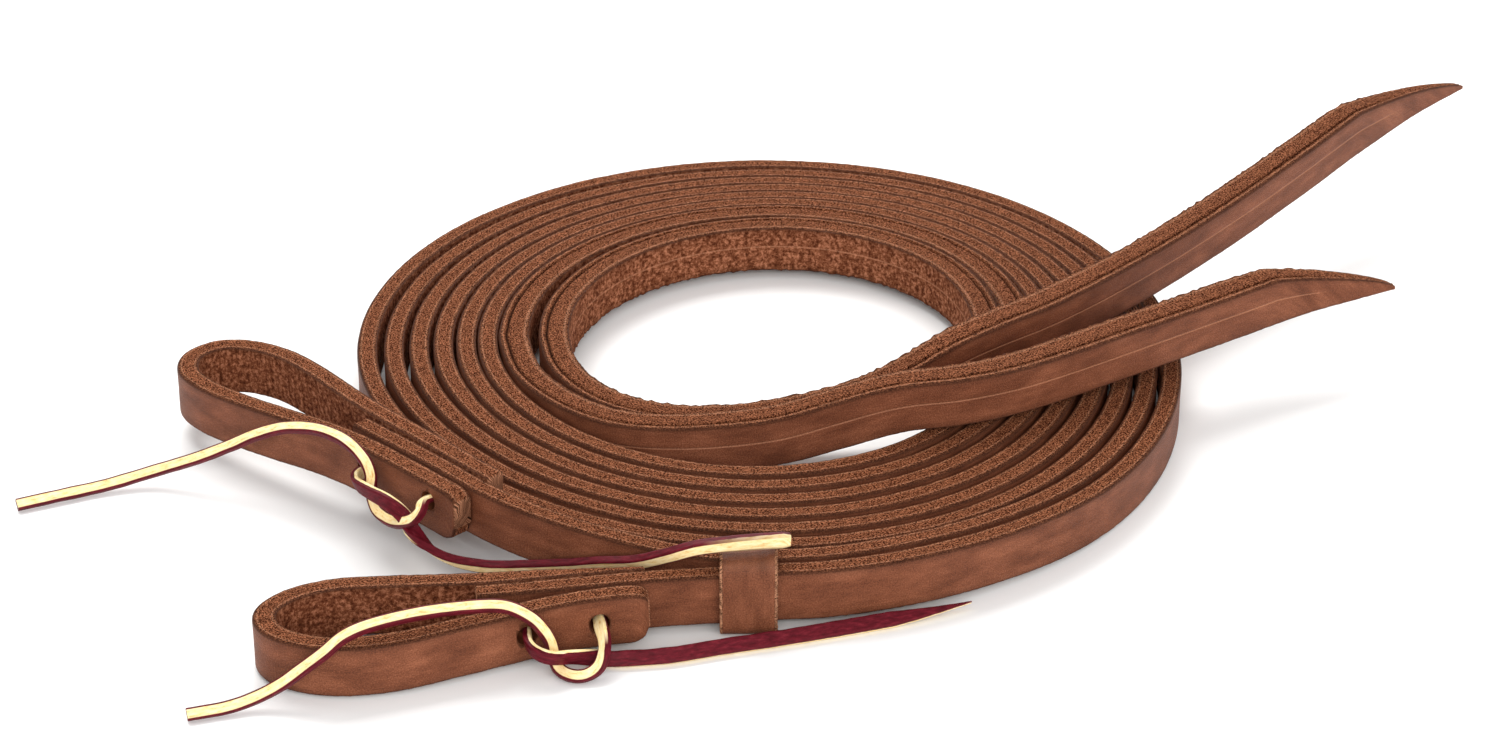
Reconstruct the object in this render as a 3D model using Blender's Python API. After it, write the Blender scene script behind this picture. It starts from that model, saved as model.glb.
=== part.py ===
"""A pair of western split reins in heavy harness leather, coiled together on edge.

Each rein is one long strap whose bit end is held in a folded bit loop by a lace tied
through two punched holes. A leather keeper holds both straps together. Metres, +Z up.
"""

import math

import bmesh
import bpy
from mathutils import Matrix, Vector

MM = 0.001

# Leather sizes.
STRAP_WIDTH = 12.7 * MM
STRAP_THICKNESS = 5.1 * MM
END_THICKNESS = 7.8 * MM
LACE_DIAMETER = 2.6 * MM
HOLE_DIAMETER = 4.6 * MM
KEEPER_WIDTH = 13.0 * MM
KEEPER_WALL = 1.6 * MM
KEEPER_FRONT = -113.3 * MM
KEEPER_BACK = -99.2 * MM
KEEPER_MIDDLE = -5.3 * MM

# The coil: both straps wind inwards side by side, anticlockwise seen from above.
# Each list holds the mean, then the cosine and sine parts of one, two and three waves a turn.
COIL_CENTRE = Vector((0.0, 3.5 * MM))
OUTER_RADIUS = (113.8, -3.6, 3.9, -2.6, -1.05, -0.7, 0.0)
PITCH = (6.5, -0.75, 0.0, 0.15, -0.25, 0.0, 0.0)
TIGHTENING = (0.069, -0.09, 0.03, 0.0, 0.0, 0.0, 0.0)
TURNS_THIN = 3.2
TURNS_THICK = 3.28
TURNS_COILED = 3.75
STEP_TURN = 1 / 60
PRESSED_IN = 2.0 * MM
PRESSED_TURN = 0.875
PRESSED_HALF_WIDTH = 0.125
LAYER_RISE = 0.4 * MM
FLAT_LAYERS = 2.0
LAYER_GAP = 0.35 * MM
KEEPER_LIFT = 2.0 * MM
KEEPER_BULGE = 2.3 * MM
LAST_TURN_SPREAD = 2.0 * MM

# Ends of the straps: how far the long slanted cut runs, and how blunt its point is.
NEAR_SLANT_LENGTH = 35 * MM
FAR_SLANT_LENGTH = 50 * MM
SLANT_ROUNDING = 0.75
POINT_SHARE = 0.08

# The rounded end of a bit loop: its length, and the shares of the width cut off.
TIP_LENGTH = 4.4 * MM
LOWER_TIP_CUT = 0.3
UPPER_TIP_CUT = 0.12

# How finely the shapes are drawn.
CUTTER_SIDES = 24
SAMPLE_LENGTH = 6.5 * MM

# The whole model stands with its box centred on the origin.
MODEL_SHIFT = Vector((-25.01 * MM, 3.0 * MM, 0.0))

# Routes in millimetres: x, y, height of the lower edge, thickness.
NEAR_BIT_END = [
    (-66.0, -116.8, 1.0, 5.1), (-56.0, -115.5, 1.2, 5.1), (-45.0, -114.0, 1.5, 5.1),
    (-34.0, -112.6, 1.8, 5.1), (-23.0, -111.3, 2.0, 5.1), (-12.0, -110.1, 2.0, 5.1),
]
FAR_BIT_END = [
    (-98.0, -51.5, 8.4, 5.1), (-87.0, -62.7, 8.6, 5.1), (-76.5, -73.4, 8.6, 5.1),
    (-66.5, -82.6, 7.8, 5.1), (-56.0, -88.8, 6.2, 5.1), (-45.0, -93.3, 4.6, 5.1),
    (-34.0, -97.0, 3.3, 5.1), (-23.0, -100.4, 2.4, 5.1), (-12.0, -102.7, 2.0, 5.1),
]
NEAR_FREE_END = [
    (-61.0, -12.3, 2.3, 7.8), (-54.4, -24.2, 2.5, 7.9), (-45.6, -34.2, 2.9, 8.0),
    (-35.4, -40.8, 3.4, 8.2), (-24.0, -43.8, 4.2, 8.4), (-11.0, -44.4, 5.2, 8.5),
    (3.0, -43.6, 6.9, 8.6), (17.0, -43.0, 11.0, 8.7), (31.0, -42.6, 15.0, 8.8),
    (45.0, -40.2, 15.6, 8.9), (58.0, -34.8, 15.6, 9.1), (72.0, -26.0, 15.6, 9.2),
    (86.0, -16.4, 15.8, 9.4), (102.0, -5.8, 16.2, 9.4), (118.0, 4.2, 17.0, 9.4),
    (134.3, 12.1, 18.5, 7.4), (148.6, 16.8, 19.7, 4.6), (159.6, 20.2, 20.6, 2.2),
]
FAR_FREE_END = [
    (-52.0, -9.0, 2.4, 7.8), (-46.0, -20.4, 2.1, 7.8), (-36.5, -29.0, 1.7, 7.9),
    (-23.0, -34.2, 1.6, 8.0), (-8.0, -34.8, 2.2, 8.1), (8.0, -32.4, 3.6, 8.2),
    (23.0, -28.6, 6.2, 8.3), (35.0, -24.4, 10.2, 8.5), (45.0, -19.4, 14.4, 8.7),
    (55.0, -12.0, 15.5, 8.9), (66.0, -3.0, 15.6, 9.1), (76.0, 6.4, 15.7, 9.2),
    (89.2, 20.0, 15.8, 8.7), (105.2, 37.2, 16.6, 8.7), (123.2, 57.2, 18.5, 8.8),
    (142.2, 79.0, 21.0, 8.8), (160.3, 99.7, 23.7, 8.2), (178.9, 118.1, 26.0, 5.2),
    (196.3, 133.2, 27.5, 2.2),
]
NEAR_BIT_LOOP = [
    (-29.0, -108.2, 1.9, 1.6), (-38.0, -108.8, 1.7, 2.6), (-47.0, -109.4, 1.5, 3.7),
    (-56.0, -110.2, 1.2, 4.7), (-65.0, -111.1, 1.0, 5.3), (-76.0, -111.5, 0.8, 5.4),
    (-88.0, -111.8, 0.5, 5.4), (-99.0, -112.9, 0.4, 5.4), (-108.0, -117.2, 0.3, 5.4),
    (-112.6, -124.2, 0.3, 5.4), (-110.6, -131.4, 0.3, 5.4), (-103.0, -136.2, 0.3, 5.4),
    (-93.0, -137.6, 0.4, 5.4), (-82.0, -135.6, 0.6, 5.4), (-71.0, -131.2, 0.9, 5.4),
    (-60.0, -126.4, 1.1, 5.4), (-49.0, -121.9, 1.4, 5.4), (-38.0, -119.0, 1.7, 5.4),
    (-28.0, -117.6, 1.9, 5.4),
]
FAR_BIT_LOOP = [
    (-64.6, -76.8, 8.2, 5.2), (-72.2, -69.4, 8.6, 5.4), (-81.0, -60.2, 8.7, 5.4),
    (-89.7, -51.0, 8.6, 5.4), (-98.0, -41.4, 8.2, 5.4), (-105.5, -31.4, 7.6, 5.4),
    (-113.0, -21.4, 7.0, 5.4), (-121.0, -12.4, 6.3, 5.4), (-129.6, -7.0, 5.8, 5.4),
    (-138.0, -6.2, 5.5, 5.4), (-143.8, -11.2, 5.4, 5.4), (-144.0, -19.2, 5.4, 5.4),
    (-138.8, -27.2, 5.6, 5.4), (-129.6, -35.2, 6.0, 5.4), (-118.5, -43.8, 6.8, 5.4),
    (-106.5, -52.8, 7.8, 5.4), (-96.5, -61.6, 8.4, 5.4), (-86.5, -71.4, 8.6, 5.4),
    (-71.6, -86.1, 8.3, 5.4),
]

# Lace routes in millimetres, from the tip of one tail to the tip of the other.
NEAR_LACE = [
    (-127.4, -148.8, 1.6), (-119.3, -146.2, 1.7), (-113.2, -144.0, 2.8), (-107.6, -142.8, 5.4),
    (-102.7, -142.2, 9.0), (-97.7, -141.9, 13.0), (-93.3, -139.4, 15.8), (-87.2, -136.4, 17.0),
    (-77.0, -132.1, 17.2), (-66.5, -129.2, 17.0), (-59.0, -128.8, 16.8), (-53.6, -130.2, 15.0),
    (-51.0, -129.6, 11.6), (-49.4, -128.3, 7.6), (-48.6, -128.4, 4.4), (-47.6, -130.8, 2.2),
    (-44.8, -133.2, 1.7), (-41.4, -133.4, 1.8), (-38.5, -131.8, 3.0), (-37.3, -129.4, 5.4),
    (-37.4, -126.6, 7.4), (-38.3, -122.8, 8.1), (-39.4, -115.0, 8.1), (-40.2, -109.0, 8.1),
    (-42.0, -105.6, 8.1), (-46.6, -104.6, 8.1), (-51.4, -104.6, 8.1), (-55.6, -105.8, 8.1),
    (-56.6, -110.0, 8.1), (-55.8, -117.0, 8.1), (-54.6, -124.5, 8.1), (-54.1, -129.4, 7.9),
    (-52.2, -132.4, 7.2), (-48.8, -132.8, 6.0), (-44.0, -130.2, 4.6), (-39.2, -127.4, 2.6),
    (-33.0, -126.8, 1.8), (-22.8, -125.4, 1.8), (-11.7, -122.0, 1.8), (-0.5, -118.9, 1.8),
    (10.8, -115.5, 1.8), (22.2, -111.8, 1.8), (33.7, -107.7, 1.8), (45.6, -102.6, 1.8),
]
FAR_LACE = [
    (-180.9, -57.9, 1.6), (-171.4, -53.5, 1.7), (-160.9, -48.8, 1.9), (-149.6, -45.6, 4.0),
    (-138.6, -46.6, 8.2), (-130.0, -48.6, 12.8), (-123.4, -51.0, 17.0), (-116.0, -54.4, 20.8),
    (-108.6, -58.8, 23.0), (-102.8, -63.6, 23.8), (-98.6, -67.6, 23.4), (-95.4, -70.3, 21.0),
    (-94.0, -71.2, 17.6), (-94.0, -71.6, 14.0), (-92.6, -75.0, 10.6), (-89.8, -79.2, 10.2),
    (-86.4, -83.6, 11.8), (-83.0, -87.6, 14.8), (-80.9, -88.4, 17.5), (-80.5, -85.2, 18.0),
    (-78.8, -80.9, 17.0), (-74.6, -76.8, 16.6), (-69.5, -71.7, 16.2), (-67.0, -68.2, 15.6),
    (-69.2, -64.6, 15.2), (-74.4, -59.2, 15.0), (-79.2, -54.4, 15.0), (-82.6, -53.0, 15.4),
    (-86.0, -55.9, 16.0), (-89.6, -59.4, 16.2), (-94.0, -64.0, 15.8), (-97.4, -67.8, 15.6),
    (-97.2, -72.0, 15.7), (-93.8, -76.6, 15.9), (-89.2, -80.8, 15.6), (-85.4, -83.6, 13.6),
    (-82.8, -86.4, 10.6), (-79.2, -89.4, 8.4), (-74.0, -92.0, 6.8), (-67.2, -94.0, 6.3),
    (-60.8, -95.5, 6.8), (-47.2, -97.9, 8.7), (-40.0, -99.8, 10.4), (-31.0, -102.9, 12.6),
    (-23.5, -106.0, 16.3), (-16.4, -107.4, 19.2), (-6.1, -106.2, 19.8), (4.1, -104.3, 19.5),
]

# Hole places in millimetres: a point on the axis, and the axis direction.
NEAR_HOLES = [((-39.4, -115.0, 8.1), (-0.128, 0.992, 0.0)), ((-55.8, -117.0, 8.1), (-0.128, 0.992, 0.0))]
FAR_HOLES = [((-74.6, -76.8, 16.6), (0.712, 0.701, 0.0)), ((-89.6, -59.4, 16.2), (0.712, 0.701, 0.0))]
HOLE_CUT_LENGTH = 30 * MM

STRAP_BROWN = (0.21, 0.075, 0.035)
LOOP_BROWN = (0.24, 0.085, 0.042)
KEEPER_BROWN = (0.20, 0.070, 0.033)
LACE_RED = (0.13, 0.012, 0.035)


def clear_scene():
    for obj in list(bpy.data.objects):
        bpy.data.objects.remove(obj, do_unlink=True)


def leather(name, colour, roughness):
    material = bpy.data.materials.new(name)
    material.use_nodes = True
    shader = material.node_tree.nodes["Principled BSDF"]
    shader.inputs["Base Color"].default_value = (*colour, 1.0)
    shader.inputs["Roughness"].default_value = roughness
    shader.inputs["Metallic"].default_value = 0.0
    return material


def smooth_step(value, low, high):
    share = min(1.0, max(0.0, (value - low) / (high - low)))
    return share * share * (3 - 2 * share)


def waves(parts, angle):
    total = parts[0]
    for number in (1, 2, 3):
        total += parts[2 * number - 1] * math.cos(number * angle)
        total += parts[2 * number] * math.sin(number * angle)
    return total


def strap_thickness(turn):
    grown = smooth_step(turn, TURNS_THIN, TURNS_THICK)
    return STRAP_THICKNESS + (END_THICKNESS - STRAP_THICKNESS) * grown


def outer_face(strap, turn):
    """Radius of a strap's outer face: strap 0 is the near rein, and strap 1 the far one inside it."""
    layer = 2 * turn + strap
    angle = math.tau * (turn - 0.25)
    radius = waves(OUTER_RADIUS, angle) - waves(PITCH, angle) * layer
    radius = (radius + waves(TIGHTENING, angle) * layer**2) * MM
    away = abs((turn - PRESSED_TURN + 0.5) % 1 - 0.5) / PRESSED_HALF_WIDTH
    radius -= PRESSED_IN * math.cos(min(1.0, away) * math.pi / 2) ** 2 * max(0.0, 1 - layer / 6)
    radius += KEEPER_BULGE * (1 - smooth_step(turn, 0.0, 0.09))
    neighbour = (0, turn) if strap else (1, turn - 1)
    if neighbour[1] < 0:
        return radius
    gap = LAYER_GAP + strap * LAST_TURN_SPREAD * smooth_step(turn, 3.4, 3.75)
    return min(radius, outer_face(*neighbour) - strap_thickness(neighbour[1]) - gap)


def coil(strap):
    """Stations of one strap through its turns: x, y, height of the lower edge, thickness."""
    count = round(TURNS_COILED / STEP_TURN)
    stations = []
    for i in range(count + 1):
        turn = TURNS_COILED * i / count
        angle = math.tau * (turn - 0.25)
        thickness = strap_thickness(turn)
        radius = outer_face(strap, turn) - thickness / 2
        x = COIL_CENTRE.x + radius * math.cos(angle)
        y = COIL_CENTRE.y + radius * math.sin(angle)
        lift = KEEPER_LIFT * (1 - smooth_step(turn, 0.03, 0.16))
        rise = LAYER_RISE * max(0.0, 2 * turn + strap - FLAT_LAYERS)
        stations.append((x, y, lift + rise, thickness))
    return stations


def in_metres(route):
    return [tuple(value * MM for value in point) for point in route]


def smooth_route(points, spacing):
    """Points read from a Catmull-Rom curve through the route, no further apart than spacing."""
    knots = [Vector(point) for point in points]
    knots = [2 * knots[0] - knots[1]] + knots + [2 * knots[-1] - knots[-2]]
    route = []
    for i in range(1, len(knots) - 2):
        before, start, end, after = knots[i - 1 : i + 3]
        steps = max(1, math.ceil((end - start).length / spacing))
        for step in range(steps):
            route.append(between(before, start, end, after, step / steps))
    route.append(knots[-2])
    return route


def between(before, start, end, after, t):
    return 0.5 * (
        2 * start
        + (end - before) * t
        + (2 * before - 5 * start + 4 * end - after) * t * t
        + (3 * start - before - 3 * end + after) * t * t * t
    )


def distances(centres):
    along = [0.0]
    for a, b in zip(centres, centres[1:]):
        along.append(along[-1] + (b - a).length)
    return along


def slanted_end(slant_length):
    """Limits of a strap's width, which is cut on a long slant to a low point at the free end."""

    def limits(along, total):
        left = min(1.0, (total - along) / slant_length)
        return (0.0, POINT_SHARE + (1 - POINT_SHARE) * left**SLANT_ROUNDING)

    return limits


def rounded_end(along, total):
    """The front leg's end has its lower corner cut round, and its upper one a little."""
    left = min(1.0, (total - along) / TIP_LENGTH)
    cut = 1 - math.sqrt(1 - (1 - left) ** 2)
    return (LOWER_TIP_CUT * cut, 1 - UPPER_TIP_CUT * cut)


def add_marks(route, marks):
    """Adds points where the end shape changes, so that its corners are sharp."""
    total = distances([Vector(p[:3]) for p in route])[-1]
    for mark in marks:
        along = distances([Vector(p[:3]) for p in route])
        place = total - mark
        i = max(k for k in range(len(along) - 1) if along[k] < place)
        share = (place - along[i]) / (along[i + 1] - along[i])
        if 0.02 < share < 0.98:
            route.insert(i + 1, route[i].lerp(route[i + 1], share))
    return route


def swept_strap(name, route, limits, material):
    """A strap on edge: a rectangle carried along the route, its width upright and square to it."""
    mid = Vector((0, 0, STRAP_WIDTH / 2))
    centres = [Vector(point[:3]) + mid for point in route]
    along = distances(centres)
    shape = bmesh.new()
    rings = []
    for i, centre in enumerate(centres):
        ahead = (centres[min(i + 1, len(centres) - 1)] - centres[max(i - 1, 0)]).normalized()
        side = Vector((0, 0, 1)).cross(ahead).normalized()
        up = ahead.cross(side)
        low, high = limits(along[i], along[-1])
        half = route[i][3] / 2
        corners = [(-half, low), (half, low), (half, high), (-half, high)]
        ring = [centre + side * x + up * STRAP_WIDTH * (share - 0.5) for x, share in corners]
        rings.append([shape.verts.new(point) for point in ring])
    for ring, following in zip(rings, rings[1:]):
        for k in range(4):
            shape.faces.new((ring[k], ring[(k + 1) % 4], following[(k + 1) % 4], following[k]))
    shape.faces.new(rings[0])
    shape.faces.new(reversed(rings[-1]))
    bmesh.ops.recalc_face_normals(shape, faces=shape.faces)
    return mesh_object(name, shape, material)


def rein_strap(name, route, slant_length, material):
    marks = [slant_length * share for share in (1.0, 0.75, 0.5, 0.25, 0.1)]
    route = add_marks(smooth_route(route, SAMPLE_LENGTH * 2), marks)
    return swept_strap(name, route, slanted_end(slant_length), material)


def mesh_object(name, shape, material):
    mesh = bpy.data.meshes.new(name)
    shape.to_mesh(mesh)
    shape.free()
    mesh.shade_smooth()
    mesh.set_sharp_from_angle(angle=math.radians(35))
    obj = bpy.data.objects.new(name, mesh)
    bpy.context.collection.objects.link(obj)
    if material:
        mesh.materials.append(material)
    return obj


def punch_holes(pieces, holes, name):
    """Cuts one round hole through every layer of a bit end."""
    for number, (place, direction) in enumerate(holes):
        shape = bmesh.new()
        radius = HOLE_DIAMETER / 2
        bmesh.ops.create_cone(
            shape, cap_ends=True, segments=CUTTER_SIDES, radius1=radius, radius2=radius, depth=HOLE_CUT_LENGTH
        )
        cutter = mesh_object(f"{name}_punch_{number + 1}", shape, None)
        turned = Vector(direction).to_track_quat("Z", "Y").to_matrix().to_4x4()
        cutter.matrix_world = Matrix.Translation(Vector(place) * MM) @ turned
        cutter.hide_render = True
        cutter.display_type = "WIRE"
        for piece in pieces:
            cut = piece.modifiers.new(cutter.name, "BOOLEAN")
            cut.operation = "DIFFERENCE"
            cut.object = cutter


def lace(name, points, material):
    """A round cord along the tied route, with closed ends."""
    route = smooth_route(in_metres(points), 4.2 * MM)
    curve = bpy.data.curves.new(name, "CURVE")
    curve.dimensions = "3D"
    curve.bevel_depth = LACE_DIAMETER / 2
    curve.bevel_resolution = 2
    curve.use_fill_caps = True
    spline = curve.splines.new("POLY")
    spline.points.add(len(route) - 1)
    for point, place in zip(spline.points, route):
        point.co = (*place, 1.0)
    obj = bpy.data.objects.new(name, curve)
    bpy.context.collection.objects.link(obj)
    curve.materials.append(material)
    return obj


def keeper(material):
    """A band round both straps, with its inside clear of them."""
    low, high = KEEPER_WALL, KEEPER_LIFT + STRAP_WIDTH + 2 * LAYER_GAP
    front, back = KEEPER_FRONT, KEEPER_BACK
    inner = [(front, low), (back, low), (back, high), (front, high)]
    shape = bmesh.new()
    rings = []
    for x in (-KEEPER_WIDTH / 2, KEEPER_WIDTH / 2):
        for grow in (0.0, KEEPER_WALL):
            ring = []
            for (y, z), (sy, sz) in zip(inner, ((-1, -1), (1, -1), (1, 1), (-1, 1))):
                ring.append(shape.verts.new((x, y + sy * grow, z + sz * grow)))
            rings.append(ring)
    in_left, out_left, in_right, out_right = rings
    for k in range(4):
        n = (k + 1) % 4
        shape.faces.new((in_left[k], in_left[n], out_left[n], out_left[k]))
        shape.faces.new((in_right[k], out_right[k], out_right[n], in_right[n]))
        shape.faces.new((in_left[k], in_right[k], in_right[n], in_left[n]))
        shape.faces.new((out_left[k], out_left[n], out_right[n], out_right[k]))
    bmesh.ops.recalc_face_normals(shape, faces=shape.faces)
    outer_edges = [
        edge
        for edge in shape.edges
        if abs(edge.verts[0].co.x - edge.verts[1].co.x) > KEEPER_WIDTH / 2
        and any(vert in out_left for vert in edge.verts)
    ]
    bmesh.ops.bevel(shape, geom=outer_edges, offset=1.2 * MM, segments=3, profile=0.5, affect="EDGES")
    obj = mesh_object("keeper", shape, material)
    obj.location.x = KEEPER_MIDDLE
    return obj


def build():
    clear_scene()
    strap_leather = leather("strap_leather", STRAP_BROWN, 0.62)
    loop_leather = leather("bit_loop_leather", LOOP_BROWN, 0.6)
    keeper_leather = leather("keeper_leather", KEEPER_BROWN, 0.55)
    latigo = leather("latigo_lace", LACE_RED, 0.45)

    near_route = in_metres(NEAR_BIT_END) + coil(0) + in_metres(NEAR_FREE_END)
    far_route = in_metres(FAR_BIT_END) + coil(1) + in_metres(FAR_FREE_END)
    near_strap = rein_strap("near_rein_strap", near_route, NEAR_SLANT_LENGTH, strap_leather)
    far_strap = rein_strap("far_rein_strap", far_route, FAR_SLANT_LENGTH, strap_leather)

    tip_marks = [TIP_LENGTH, TIP_LENGTH / 2, TIP_LENGTH / 5]
    near_loop_route = add_marks(smooth_route(in_metres(NEAR_BIT_LOOP), SAMPLE_LENGTH), tip_marks)
    far_loop_route = add_marks(smooth_route(in_metres(FAR_BIT_LOOP), SAMPLE_LENGTH), tip_marks)
    near_loop = swept_strap("near_bit_loop", near_loop_route, rounded_end, loop_leather)
    far_loop = swept_strap("far_bit_loop", far_loop_route, rounded_end, loop_leather)
    punch_holes([near_strap, near_loop], NEAR_HOLES, "near")
    punch_holes([far_strap, far_loop], FAR_HOLES, "far")

    pieces = [near_strap, far_strap, near_loop, far_loop, keeper(keeper_leather)]
    pieces.append(lace("near_tie_lace", NEAR_LACE, latigo))
    pieces.append(lace("far_tie_lace", FAR_LACE, latigo))
    frame = bpy.data.objects.new("reins", None)
    bpy.context.collection.objects.link(frame)
    frame.location = MODEL_SHIFT
    for obj in list(bpy.context.collection.objects):
        if obj is not frame:
            obj.parent = frame


build()
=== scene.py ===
"""Looks of a coiled pair of leather split reins: straps, bit loops, keeper and tie laces.

Every piece follows the same routes as the CAD model, in its frame, and gets its fine surface here.
"""

import math

import bmesh
import bpy
import numpy as np
from mathutils import Matrix, Vector, noise


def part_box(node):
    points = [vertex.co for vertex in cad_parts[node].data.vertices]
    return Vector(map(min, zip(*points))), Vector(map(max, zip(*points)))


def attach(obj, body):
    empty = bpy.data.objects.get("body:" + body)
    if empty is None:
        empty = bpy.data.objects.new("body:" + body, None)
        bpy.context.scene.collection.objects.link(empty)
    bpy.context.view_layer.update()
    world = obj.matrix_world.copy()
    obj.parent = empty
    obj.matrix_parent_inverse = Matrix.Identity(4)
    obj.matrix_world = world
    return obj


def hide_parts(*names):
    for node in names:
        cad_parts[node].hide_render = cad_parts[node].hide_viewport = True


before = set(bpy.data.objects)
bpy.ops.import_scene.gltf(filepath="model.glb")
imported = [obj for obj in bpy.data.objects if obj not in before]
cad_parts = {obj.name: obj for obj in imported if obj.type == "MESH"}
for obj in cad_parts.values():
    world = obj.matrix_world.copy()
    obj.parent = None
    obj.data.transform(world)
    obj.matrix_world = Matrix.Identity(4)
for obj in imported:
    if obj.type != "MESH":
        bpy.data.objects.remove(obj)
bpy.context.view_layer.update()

MM = 0.001
MODEL_SHIFT = np.array((-25.01, 3.0, 0.0)) * MM

# Leather sizes, as in the CAD model.
STRAP_WIDTH = 12.7 * MM
STRAP_THICKNESS = 5.1 * MM
END_THICKNESS = 7.8 * MM
HOLE_DIAMETER = 4.6 * MM
KEEPER_WALL = 1.6 * MM

# The coil, as in the CAD model.
COIL_CENTRE = (0.0, 3.5 * MM)
OUTER_RADIUS = (113.8, -3.6, 3.9, -2.6, -1.05, -0.7, 0.0)
PITCH = (6.5, -0.75, 0.0, 0.15, -0.25, 0.0, 0.0)
TIGHTENING = (0.069, -0.09, 0.03, 0.0, 0.0, 0.0, 0.0)
TURNS_THIN = 3.2
TURNS_THICK = 3.28
TURNS_COILED = 3.75
STEP_TURN = 1 / 60
PRESSED_IN = 2.0 * MM
PRESSED_TURN = 0.875
PRESSED_HALF_WIDTH = 0.125
LAYER_RISE = 0.4 * MM
FLAT_LAYERS = 2.0
LAYER_GAP = 0.35 * MM
KEEPER_LIFT = 2.0 * MM
KEEPER_BULGE = 2.3 * MM
LAST_TURN_SPREAD = 2.0 * MM

# Ends of the straps.
NEAR_SLANT_LENGTH = 35 * MM
FAR_SLANT_LENGTH = 50 * MM
SLANT_ROUNDING = 0.75
POINT_SHARE = 0.08
TIP_LENGTH = 4.4 * MM
LOWER_TIP_CUT = 0.3
UPPER_TIP_CUT = 0.12

# Fine surface.
STATION_STEP = 1.2 * MM
LOOP_STEP = 0.8 * MM
GRAIN_CORNER = 0.8 * MM
FLESH_CORNER = 0.6 * MM
GROOVE_PLACE = 0.27
GROOVE_DEPTH = 0.9 * MM
GROOVE_HALF_WIDTH = 0.55 * MM
CREASE_PLACE = 0.57
END_CROWN = 0.3 * MM
# Strength of the painted highlight along the rims of the cut edges and over the cut ends.
RIM_HIGHLIGHT_SHARE = 0.7
LACE_WIDTH = 3.6 * MM
LACE_THICKNESS = 2.0 * MM
LACE_CORNER = 0.35 * MM
FIRST_TAIL_SHARE = 0.8
PALE_STRIP = 0.66
LACE_STEP = 1.0 * MM
KEEPER_CORNER = 2.2 * MM
KEEPER_BEVEL = 0.3 * MM
KEEPER_RIM = 0.55 * MM
KEEPER_STEP = 0.5 * MM
CUT_END_SHARE = 0.93
SHARP_ANGLE = math.radians(60)

# Routes in millimetres: x, y, height of the lower edge, thickness.
NEAR_BIT_END = [
    (-66.0, -116.8, 1.0, 5.1), (-56.0, -115.5, 1.2, 5.1), (-45.0, -114.0, 1.5, 5.1),
    (-34.0, -112.6, 1.8, 5.1), (-23.0, -111.3, 2.0, 5.1), (-12.0, -110.1, 2.0, 5.1),
]
FAR_BIT_END = [
    (-98.0, -51.5, 8.4, 5.1), (-87.0, -62.7, 8.6, 5.1), (-76.5, -73.4, 8.6, 5.1),
    (-66.5, -82.6, 7.8, 5.1), (-56.0, -88.8, 6.2, 5.1), (-45.0, -93.3, 4.6, 5.1),
    (-34.0, -97.0, 3.3, 5.1), (-23.0, -100.4, 2.4, 5.1), (-12.0, -102.7, 2.0, 5.1),
]
NEAR_FREE_END = [
    (-61.0, -12.3, 2.3, 7.8), (-54.4, -24.2, 2.5, 7.9), (-45.6, -34.2, 2.9, 8.0),
    (-35.4, -40.8, 3.4, 8.2), (-24.0, -43.8, 4.2, 8.4), (-11.0, -44.4, 5.2, 8.5),
    (3.0, -43.6, 6.9, 8.6), (17.0, -43.0, 11.0, 8.7), (31.0, -42.6, 15.0, 8.8),
    (45.0, -40.2, 15.6, 8.9), (58.0, -34.8, 15.6, 9.1), (72.0, -26.0, 15.6, 9.2),
    (86.0, -16.4, 15.8, 9.4), (102.0, -5.8, 16.2, 9.4), (118.0, 4.2, 17.0, 9.4),
    (134.3, 12.1, 18.5, 7.4), (148.6, 16.8, 19.7, 4.6), (159.6, 20.2, 20.6, 2.2),
]
FAR_FREE_END = [
    (-52.0, -9.0, 2.4, 7.8), (-46.0, -20.4, 2.1, 7.8), (-36.5, -29.0, 1.7, 7.9),
    (-23.0, -34.2, 1.6, 8.0), (-8.0, -34.8, 2.2, 8.1), (8.0, -32.4, 3.6, 8.2),
    (23.0, -28.6, 6.2, 8.3), (35.0, -24.4, 10.2, 8.5), (45.0, -19.4, 14.4, 8.7),
    (55.0, -12.0, 15.5, 8.9), (66.0, -3.0, 15.6, 9.1), (76.0, 6.4, 15.7, 9.2),
    (89.2, 20.0, 15.8, 8.7), (105.2, 37.2, 16.6, 8.7), (123.2, 57.2, 18.5, 8.8),
    (142.2, 79.0, 21.0, 8.8), (160.3, 99.7, 23.7, 8.2), (178.9, 118.1, 26.0, 5.2),
    (196.3, 133.2, 27.5, 2.2),
]
NEAR_BIT_LOOP = [
    (-29.0, -108.2, 1.9, 1.6), (-38.0, -108.8, 1.7, 2.6), (-47.0, -109.4, 1.5, 3.7),
    (-56.0, -110.2, 1.2, 4.7), (-65.0, -111.1, 1.0, 5.3), (-76.0, -111.5, 0.8, 5.4),
    (-88.0, -111.8, 0.5, 5.4), (-99.0, -112.9, 0.4, 5.4), (-108.0, -117.2, 0.3, 5.4),
    (-112.6, -124.2, 0.3, 5.4), (-110.6, -131.4, 0.3, 5.4), (-103.0, -136.2, 0.3, 5.4),
    (-93.0, -137.6, 0.4, 5.4), (-82.0, -135.6, 0.6, 5.4), (-71.0, -131.2, 0.9, 5.4),
    (-60.0, -126.4, 1.1, 5.4), (-49.0, -121.9, 1.4, 5.4), (-38.0, -119.0, 1.7, 5.4),
    (-28.0, -117.6, 1.9, 5.4),
]
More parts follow.
